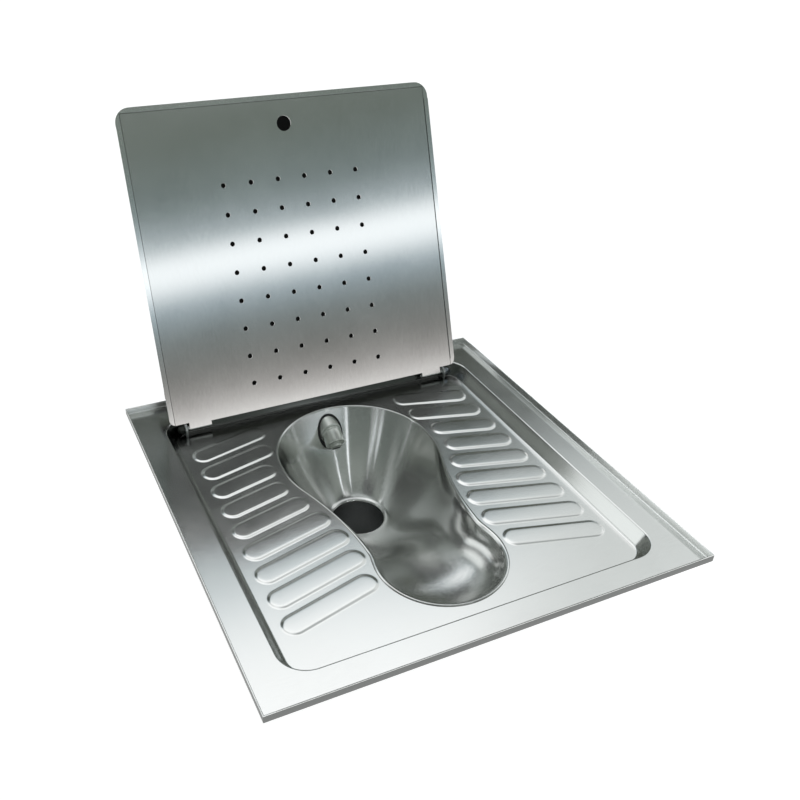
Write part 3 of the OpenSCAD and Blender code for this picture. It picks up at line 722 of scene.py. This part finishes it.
def bowl_depth(plan):
    """Depth of the bowl below its edge: a trough in front that turns into a funnel.
    The funnel falls along rays to the drain's seat from an egg round the opening: with u
    the part of the way out, depth = full (1 - u^n)^(1/n), times the same kind of curve
    across the opening, which is steep at the edge. The trough has such a curve across,
    and its middle falls from the nose to the seat."""
    x, y = plan[..., 0], plan[..., 1]
    far = np.hypot(x, y - DRAIN_Y)
    seat = DRAIN_R + DRAIN_SEAT
    u = np.clip((far - seat) / (egg_reach(x / far, (y - DRAIN_Y) / far) - seat), 0, 1)
    n = FUNNEL_FULLNESS
    funnel = BOWL_DEPTH * (1 - u ** n) ** (1 / n)
    across = np.where(y < NOSE_Y, np.hypot(x, y - NOSE_Y) / NOSE_R,
                      np.abs(x) / np.maximum(opening_half(y), 1.0))
    across = np.where(y > BULB_Y, np.hypot(x, y - BULB_Y) / BULB_R, across).clip(0, 1)
    n = WALL_FULLNESS
    funnel = funnel * (1 - across ** n) ** (1 / n)
    way = np.clip((y - NOSE_Y) / (DRAIN_Y - seat - NOSE_Y), 0, 1)
    middle = NOSE_DEPTH + (BOWL_DEPTH - NOSE_DEPTH) * way ** TROUGH_FALL
    n = TROUGH_FULLNESS
    trough = middle * (1 - across ** n) ** (1 / n)
    part = smooth_step((y - BLEND_FRONT) / (BLEND_REAR - BLEND_FRONT))
    return trough + (funnel - trough) * part


def bowl_grid():
    """The bowl's inner face: each column leaves the rolled lip on a quadratic curve,
    falls to the drain's seat by bowl_depth, and ends in the drain's turned-down edge. The
    curve meets the wall where that is first deep enough, found along short trial steps."""
    centre = np.array([0, DRAIN_Y])
    away = LIP - centre
    reach = np.linalg.norm(away, axis=1)
    foot = centre + (DRAIN_R + DRAIN_SEAT) * away / reach[:, None]
    trial = np.linspace(0, 0.12, TRIALS)[:, None, None]
    depths = bowl_depth(LIP + trial * (foot - LIP))
    start = trial[(depths < WALL_START * ROLL).sum(0).clip(0, TRIALS - 1), 0, 0]
    t = np.linspace(0, 1, WALL_ROWS)[:, None] ** ROW_CROWDING
    h = start + (1 - start) * t
    plan = LIP + h[..., None] * (foot - LIP)
    wall = np.concatenate([plan, (FLOOR_UNDER - bowl_depth(plan))[..., None]], 2)
    begin = np.c_[LIP + WAY * ROLL[:, None], np.full(COLUMNS, FLOOR_TOP)]
    bend = np.c_[LIP, np.full(COLUMNS, FLOOR_TOP)]
    t = np.linspace(0, 1, 9)[:-1, None, None]
    roll = (1 - t) ** 2 * begin + 2 * t * (1 - t) * bend + t ** 2 * wall[0]
    a = np.radians(np.linspace(0, 90, 5))
    r = DRAIN_EDGE_R
    seat = np.r_[[[DRAIN_R + r + 1, 0]],
                 np.stack([DRAIN_R + r - r * np.sin(a), r * np.cos(a) - r], 1),
                 [[DRAIN_R, -DRAIN_EDGE_DROP]]]
    ring = centre + (away / reach[:, None]) * seat[:, 0, None, None]
    return np.concatenate([roll, wall, raised(ring, FLOOR_UNDER - BOWL_DEPTH + seat[:, 1])])


def make_bowl():
    """The bowl's grid, from the drain up to the lip so that it faces in, as a sheet. The
    first number of its grain map runs down the wall, the way that reflections widen."""
    top = bowl_grid()[::-1]
    down, around = np.meshgrid(np.arange(len(top)) / len(top) * GRAIN_DOWN,
                               np.arange(COLUMNS) / COLUMNS * GRAIN_ROUND,
                               indexing="ij")
    bowl = shell("bowl_drawn", top, bowl_steel, np.stack([down, around], 2))
    return finish_piece(bowl, "pan", "polished_bowl", "bowl")


# ---- the flush spout ----


def spout_way(tilt):
    """Direction of the spout's axis where it points down by the tilt, or by each tilt."""
    return np.stack([0 * tilt, -np.cos(tilt), -np.sin(tilt)], -1)


def spout_up(tilt):
    """Direction square to the spout's axis, in the middle plane, on its upper side."""
    return np.stack([0 * tilt, -np.sin(tilt), np.cos(tilt)], -1)


def spout_start():
    """Middle of the collar's front end, where the spout's body starts."""
    points = cad_points("spout_collar") / MM
    way, up = spout_way(SPOUT_SLOPE), spout_up(SPOUT_SLOPE)
    reach = points @ way
    height = points[reach > reach.max() - 0.01] @ up
    return way * reach.max() + up * (height.min() + height.max()) / 2


def turned(name, centre, tilt, radius, material):
    """A round piece on the spout's axis: circles of the given radii round points of the
    axis, each square to its way there, closed at both ends by a flat face."""
    angle = np.linspace(0, 2 * math.pi, 65)[:-1, None]
    ring = np.cos(angle) * (1.0, 0, 0) + np.sin(angle) * spout_up(tilt)[:, None]
    points = centre[:, None] + radius[:, None, None] * ring
    rows, columns = points.shape[:2]
    faces = grid_faces(rows, columns, close_columns=True).tolist()
    faces.append(list(range(columns))[::-1])
    faces.append(list(range((rows - 1) * columns, rows * columns)))
    return make_mesh(name, points, faces, material, sharp_angle=30)


def make_spout():
    """The spout's body: a bead, an elbow along a circle's arc and a straight run with a
    broken edge. Its nozzle: a low ring and a round boss, stepped along the same axis."""
    bend = spout_start() - ELBOW_R * spout_up(SPOUT_SLOPE)
    tilt = np.linspace(SPOUT_SLOPE, SPOUT_TILT, 17)
    arc = bend + ELBOW_R * spout_up(tilt)
    way = spout_way(SPOUT_TILT)
    # circles of the straight run: how far before its end, and how much smaller
    run = np.array([(SPOUT_RUN / 2, 0), (BROKEN_EDGE, 0), (0.3, 0.25), (0, BROKEN_EDGE)])
    tip = arc[-1] + (SPOUT_RUN - run[:, :1]) * way
    bead = BEAD_H * np.sin(math.pi * np.clip(ELBOW_R * (tilt - SPOUT_SLOPE) / BEAD_W, 0, 1))
    body = turned("spout_body_bent", np.r_[arc, tip], np.r_[tilt, np.full(4, SPOUT_TILT)],
                  SPOUT_R + np.r_[bead, -run[:, 1]], spout_steel)
    finish_piece(body, "pan", "spout_steel", "spout_body")
    # circles of the nozzle: radius, and height above the body's end
    step = np.array([(RING_R, -0.5), (RING_R, RING_H - 0.4), (RING_R - 0.5, RING_H),
                     (BOSS_R + 0.3, RING_H), (BOSS_R, RING_H - 0.3), (BOSS_R, BOSS_H - 0.6),
                     (BOSS_R - 0.2, BOSS_H - 0.2), (BOSS_R - 0.7, BOSS_H)])
    nozzle = turned("spout_nozzle_stepped", tip[-1] + step[:, 1:] * way,
                    np.full(len(step), SPOUT_TILT), step[:, 0], spout_steel)
    finish_piece(nozzle, "pan", "spout_steel", "spout_nozzle")
    # paints the shade of the slot's opening on the boss's face
    paint_over(spout_steel, mouth_slot_shade, tip[-1])


def mouth_slot_shade(tree, coords, colour, end):
    """The slot in the boss's face, as painted shade of its opening: dark by the distances
    across and up from its middle, given the middle of the body's end."""
    up, way = spout_up(SPOUT_TILT), spout_way(SPOUT_TILT)
    across = along(tree, coords, (1, 0, 0), 0.0)
    high = along(tree, coords, up, float(end @ up - SLOT_LOW) * MM)
    out = along(tree, coords, way, float(end @ way) * MM)
    shown = calculated(tree, "GREATER_THAN", out, (BOSS_H - 0.1) * MM)
    for away, half in ((across, SLOT_HALF), (high, SLOT_HIGH)):
        within = calculated(tree, "ABSOLUTE", away)
        shown = product(tree, shown, calculated(tree, "LESS_THAN", within, half * MM))
    return blended(tree, shown, colour, SLOT_SHADE_COLOUR)


make_deck()
make_ribs(1)
make_ribs(-1)
make_upstand()
make_bowl()
make_spout()

# ---- pieces that keep the CAD's shape, with broken edges ----

for node, slot, material, bevel in (
        ("cover_panel", "brushed_cover", cover_steel, 0.3),
        ("cover_knuckle_left", "brushed_cover", cover_steel, 0.3),
        ("cover_knuckle_right", "brushed_cover", cover_steel, 0.3),
        ("hinge_pin_left", "bright_steel", bright_steel, 0.4),
        ("hinge_pin_right", "bright_steel", bright_steel, 0.4),
        # the left hinge's washers and nut take the dark copy: painted shade
        ("hinge_washers_left", "bright_steel", shaded_steel, 0.15),
        ("hinge_washers_right", "bright_steel", bright_steel, 0.15),
        ("dome_nut_left", "nut_steel", shaded_steel, 0.3),
        ("dome_nut_right", "nut_steel", nut_steel, 0.3)):
    refined(node, "cover", slot, material, bevel)

for node, slot, material, bevel in (
        ("outlet_tube", "plain_steel", plain_steel, 0.4),
        ("outlet_collar", "plain_steel", plain_steel, 0.4),
        ("hinge_bracket_left", "plain_steel", plain_steel, 0.4),
        ("hinge_bracket_right", "plain_steel", plain_steel, 0.4),
        ("flush_tube", "plain_steel", plain_steel, 0.3),
        ("spout_grommet", "rubber", rubber, 0.5),
        ("spout_collar", "bright_steel", spout_steel, 0.4),
        ("foot_support_left", "galvanised_support", zinc, 0.6),
        ("foot_support_right", "galvanised_support", zinc, 0.6),
        ("anchor_studs", "nut_steel", nut_steel, 0.5)):
    refined(node, "pan", slot, material, bevel)

# ---- studio floor, and dark sheets of painted shade ----

FLOOR_Z, FLOOR_HALF = -0.2002, 6.0         # in metres, level with the outlet's end
FLOOR_GREY, FLOOR_SEEN = (0.85, 0.85, 0.85), (0.42, 0.42, 0.42)
FLOOR_GLOW, DARK_GROUND = 0.86, 0.043      # no glow this near the outlet's axis, in metres
# a dark sheet behind the cover's holes, seen by the camera alone: painted shade
CARD_HALF, CARD_LOW, CARD_HIGH = 130.0, 22.0, 428.0
CARD_BEHIND = 4.0                          # how far the card lies behind the cover's back
CARD_REACH, CARD_OPEN = 0.03, 0.99         # it shows where something is this near, in metres
# a black sheet behind the hinge that only reflections see: painted shade in them
FLAG_HALF, FLAG_FRONT, FLAG_BACK, FLAG_HIGH = 235.0, 251.0, 285.0, 35.0


def matt_black(tree):
    """A matt black surface."""
    node = tree.nodes.new("ShaderNodeBsdfDiffuse")
    node.inputs["Color"].default_value = (*BLACK, 1)
    return node.outputs[0]


def staged_sheet(name, corners, material):
    """A flat sheet with four corners, in metres, that isn't part of the object."""
    mesh = bpy.data.meshes.new(name)
    mesh.from_pydata([tuple(corner) for corner in corners], [], [(0, 1, 2, 3)])
    mesh.materials.append(material)
    sheet = bpy.data.objects.new(name, mesh)
    bpy.context.scene.collection.objects.link(sheet)
    return sheet


def make_floor():
    """A plain pale floor. What sees it as background gets a glow that brings it to
    white, apart from the ground inside the outlet, and the object's soft shadow stays."""
    material, tree, surface = bare_material("pale_floor")
    path = tree.nodes.new("ShaderNodeLightPath")
    seen = path.outputs["Is Camera Ray"]
    for ray in ("Is Glossy Ray", "Is Transmission Ray"):
        seen = calculated(tree, "MAXIMUM", seen, path.outputs[ray])
    matt = tree.nodes.new("ShaderNodeBsdfDiffuse")
    tree.links.new(blended(tree, seen, FLOOR_GREY, FLOOR_SEEN), matt.inputs["Color"])
    away = tree.nodes.new("ShaderNodeVectorMath")
    away.operation = "DISTANCE"
    away.inputs[1].default_value = (0, DRAIN_Y * MM, FLOOR_Z)
    tree.links.new(object_coords(tree), away.inputs[0])
    outside = calculated(tree, "GREATER_THAN", away.outputs["Value"], DARK_GROUND)
    glow = tree.nodes.new("ShaderNodeEmission")
    glow.inputs["Color"].default_value = (1, 1, 1, 1)
    tree.links.new(product(tree, seen, FLOOR_GLOW, outside), glow.inputs["Strength"])
    both = tree.nodes.new("ShaderNodeAddShader")
    tree.links.new(matt.outputs[0], both.inputs[0])
    tree.links.new(glow.outputs[0], both.inputs[1])
    tree.links.new(both.outputs[0], surface)
    corners = [(x * FLOOR_HALF, y * FLOOR_HALF, FLOOR_Z)
               for x, y in ((-1, -1), (1, -1), (1, 1), (-1, 1))]
    staged_sheet("studio_floor", corners, material)


def make_hole_shade_sheet():
    """A dark sheet just behind the open cover, for the camera alone: painted shade behind
    the holes. It shows only where the cover lies within 30 mm in front of it, so that
    the holes are dark."""
    material, tree, surface = bare_material("painted_hole_shade")
    near = tree.nodes.new("ShaderNodeAmbientOcclusion")
    near.samples = 32
    near.inputs["Distance"].default_value = CARD_REACH
    covered = calculated(tree, "LESS_THAN", near.outputs["AO"], CARD_OPEN)
    behind = tree.nodes.new("ShaderNodeNewGeometry").outputs["Backfacing"]
    front = calculated(tree, "SUBTRACT", 1.0, behind)
    seen = tree.nodes.new("ShaderNodeLightPath").outputs["Is Camera Ray"]
    clear = tree.nodes.new("ShaderNodeBsdfTransparent").outputs[0]
    mix = tree.nodes.new("ShaderNodeMixShader")
    for place, part in enumerate((product(tree, covered, front, seen), clear,
                                  matt_black(tree))):
        tree.links.new(part, mix.inputs[place])
    tree.links.new(mix.outputs[0], surface)
    foot = HINGE * MM + COVER_OUT * (cover_reach()[3] - CARD_BEHIND * MM)
    corners = [foot + (COVER_UP * height + (x, 0, 0)) * MM
               for x, height in ((-CARD_HALF, CARD_LOW), (CARD_HALF, CARD_LOW),
                                 (CARD_HALF, CARD_HIGH), (-CARD_HALF, CARD_HIGH))]
    staged_sheet("hole_card", corners, material)


def make_gap_shade_flag():
    """A black sheet close behind the open cover, which only reflections see: painted shade
    for the hinge's gap in reflections, which it keeps dark."""
    material, tree, surface = bare_material("reflected_gap_shade")
    tree.links.new(matt_black(tree), surface)
    corners = np.array([(-FLAG_HALF, FLAG_FRONT, FLAG_HIGH), (FLAG_HALF, FLAG_FRONT, FLAG_HIGH),
                        (FLAG_HALF, FLAG_BACK, FLAG_HIGH), (-FLAG_HALF, FLAG_BACK, FLAG_HIGH)])
    flag = staged_sheet("gap_shade_flag", corners * MM, material)
    flag.visible_camera = flag.visible_shadow = flag.visible_diffuse = False


# ---- the studio round the object, in degrees of azimuth and elevation ----

# Light of the front and of the rear, as elevation and colour
FRONT_LIGHT = (
    (0, (1.50, 1.47, 1.47)), (6.0, (1.35, 1.33, 1.33)), (7.6, (0.66, 0.63, 0.62)),
    (8.7, (0.38, 0.37, 0.36)), (10, (0.24, 0.24, 0.23)), (12.3, (0.22, 0.25, 0.25)),
    (14.4, (0.40, 0.50, 0.56)), (15.9, (1.45, 1.51, 1.56)), (17.2, (1.45, 1.51, 1.56)),
    (18.2, (0.45, 0.53, 0.57)), (20.5, (0.22, 0.27, 0.27)), (24, (0.18, 0.21, 0.19)),
    (32, (0.27, 0.30, 0.28)), (40, (0.36, 0.39, 0.37)), (46, (0.25, 0.28, 0.26)),
    (54, (0.17, 0.19, 0.18)), (60, (0.24, 0.26, 0.25)), (66, (0.44, 0.48, 0.47)),
    (75, (0.70, 0.75, 0.76)), (81, (0.28, 0.30, 0.30)), (90, (0.22, 0.24, 0.24)))
REAR_LIGHT = (
    (0, (0.14, 0.15, 0.13)), (26, (0.09, 0.10, 0.085)), (34, (0.06, 0.067, 0.057)),
    (38, (0.09, 0.105, 0.10)), (41, (0.29, 0.36, 0.38)), (43.5, (0.86, 0.98, 1.04)),
    (46.5, (1.40, 1.42, 1.44)), (66, (1.40, 1.42, 1.44)), (76, (1.0, 1.03, 1.05)),
    (84, (0.55, 0.58, 0.58)), (90, (0.45, 0.48, 0.48)))
REAR_AT, REAR_FULL, REAR_END = 25.0, 38, 75   # middle, and how far it reaches to each side
REAR_LEAN, RIGHT_FROM, RIGHT_LEAN = 0.12, 33.0, 0.4   # its foot sinks to the right
# Below, an azimuth or elevation is a centre, a half width and a soft edge
SAG_AT, SAG = (115, 20, 27), 2.2           # the front's light sags by this much at the right
SHADE_AT, SHADE_COLOUR = ((-124, 48, 10), (11, 9, 5)), (0.15, 0.17, 0.16)
# Tube lamps in front: azimuth at TUBE_LEVEL, lean, half width, low and high end
TUBES = ((160.5, -0.55, 0.9, 29, 52), (-174.0, -0.30, 0.9, 16, 58),
         (-130.0, -0.60, 0.8, 20, 31), (-120.5, -0.40, 0.8, 18.5, 25))
TUBE_LEVEL, TUBE_SOFT, TUBE_LIGHT = 27.0, (0.6, 3), (2.2, 2.3, 2.4)
# Soft panels: azimuth, elevation, grey
PANELS = (((-126.5, 8, 2), (17.3, 0.5, 1.2), 1.0), ((-38, 14, 12), (29, 5, 5), 0.3),
          ((-44, 15, 10), (41, 4, 5), 1.35), ((54, 8, 10), (48, 12, 5), 0.88),
          ((124, 22, 12), (66, 14, 4), 0.07), ((-118, 14, 12), (50, 9, 5), 0.11),
          ((152, 8, 8), (57, 5, 5), 0.80), ((-58, 9, 8), (14, 9, 5), 1.15))


def sky_angles(tree):
    """A direction's elevation and its azimuth, which is 0 at the rear and 90 at the
    right."""
    split = tree.nodes.new("ShaderNodeSeparateXYZ")
    way = tree.nodes.new("ShaderNodeTexCoord").outputs["Generated"]
    tree.links.new(way, split.inputs[0])
    up = calculated(tree, "ARCSINE", split.outputs["Z"])
    azimuth = calculated(tree, "ARCTAN2", split.outputs["X"], split.outputs["Y"])
    return product(tree, up, 180 / math.pi), product(tree, azimuth, 180 / math.pi)


def ramp(tree, elevation, stops):
    """The colour at an elevation, from stops between 0 and 90 degrees."""
    node = tree.nodes.new("ShaderNodeValToRGB")
    elements = node.color_ramp.elements
    while len(elements) < len(stops):
        elements.new(0.5)
    for element, (value, colour) in zip(elements, stops):
        element.position = value / 90
        element.color = (*colour, 1)
    tree.links.new(mapped(tree, elevation, 0, 90, 0, 1), node.inputs[0])
    return node.outputs[0]


def patch(tree, azimuth, up, across, high):
    """1 inside a patch of the sky, as its lobes across and up multiplied."""
    return product(tree, lobe(tree, azimuth, *across), lobe(tree, up, *high))


def front_room(tree, up, azimuth):
    """The front: its light by elevation, a shade at the left, and the tube lamps."""
    sag = product(tree, lobe(tree, azimuth, *SAG_AT), SAG)
    room = ramp(tree, calculated(tree, "ADD", up, sag), FRONT_LIGHT)
    room = blended(tree, patch(tree, azimuth, up, *SHADE_AT), room, SHADE_COLOUR)
    for centre, lean, half, low, high in TUBES:
        leaning = product(tree, calculated(tree, "SUBTRACT", up, TUBE_LEVEL), lean)
        line = calculated(tree, "SUBTRACT", azimuth, leaning)
        glow = patch(tree, line, up, (centre, half, TUBE_SOFT[0]),
                     ((low + high) / 2, (high - low) / 2, TUBE_SOFT[1]))
        room = blended(tree, glow, room, TUBE_LIGHT)
    return room


def rear_screen(tree, up, azimuth):
    """The rear's tall white screen, from about 40 degrees up, and its share of the sky."""
    from_middle = calculated(tree, "SUBTRACT", azimuth, REAR_AT)
    right = calculated(tree, "MAXIMUM", calculated(tree, "SUBTRACT", azimuth, RIGHT_FROM), 0.0)
    lean = calculated(tree, "ADD", product(tree, from_middle, REAR_LEAN),
                      product(tree, right, RIGHT_LEAN))
    screen = ramp(tree, calculated(tree, "ADD", up, lean), REAR_LIGHT)
    away = calculated(tree, "ABSOLUTE", from_middle)
    return screen, mapped(tree, away, REAR_FULL, REAR_END, 1, 0)


def make_world():
    """Soft studio, as a function of azimuth and elevation: a grey room with a light band
    across the front at 17 degrees, tube lamps, a white screen behind and soft panels. The
    camera sees plain white."""
    world = bpy.data.worlds.new("studio")
    bpy.context.scene.world = world
    tree = cleared_tree(world)
    up, azimuth = sky_angles(tree)
    screen, share = rear_screen(tree, up, azimuth)
    room = blended(tree, share, front_room(tree, up, azimuth), screen)
    for across, high, grey in PANELS:
        room = blended(tree, patch(tree, azimuth, up, across, high), room,
                       (grey, grey * 1.04, grey * 1.04))
    path = tree.nodes.new("ShaderNodeLightPath")
    seen = blended(tree, path.outputs["Is Camera Ray"], room, (1.0, 1.0, 1.0))
    light = tree.nodes.new("ShaderNodeBackground")
    tree.links.new(seen, light.inputs["Color"])
    out = tree.nodes.new("ShaderNodeOutputWorld")
    tree.links.new(light.outputs[0], out.inputs[0])


# ---- camera ----

CAMERA_PLACE = (-0.44737, -0.80195, 0.71542)
CAMERA_TURN = (0.8589038, 0.4649717, -0.1131703, -0.1824229)   # a quaternion
SENSOR_W, LENS, SHIFT = 36.0, 39.94, 0.0625


def make_camera():
    """The photograph's own view: 33 degrees down, from the left of the front."""
    data = bpy.data.cameras.new("photo_camera")
    data.sensor_width, data.lens, data.shift_x = SENSOR_W, LENS, SHIFT
    data.clip_start, data.clip_end = 0.05, 50
    camera = bpy.data.objects.new("photo_camera", data)
    camera.location = CAMERA_PLACE
    camera.rotation_mode = "QUATERNION"
    camera.rotation_quaternion = CAMERA_TURN
    bpy.context.scene.collection.objects.link(camera)
    bpy.context.scene.camera = camera


make_floor()
make_hole_shade_sheet()
make_gap_shade_flag()
make_world()
make_camera()
bpy.context.scene.view_settings.view_transform = "Standard"
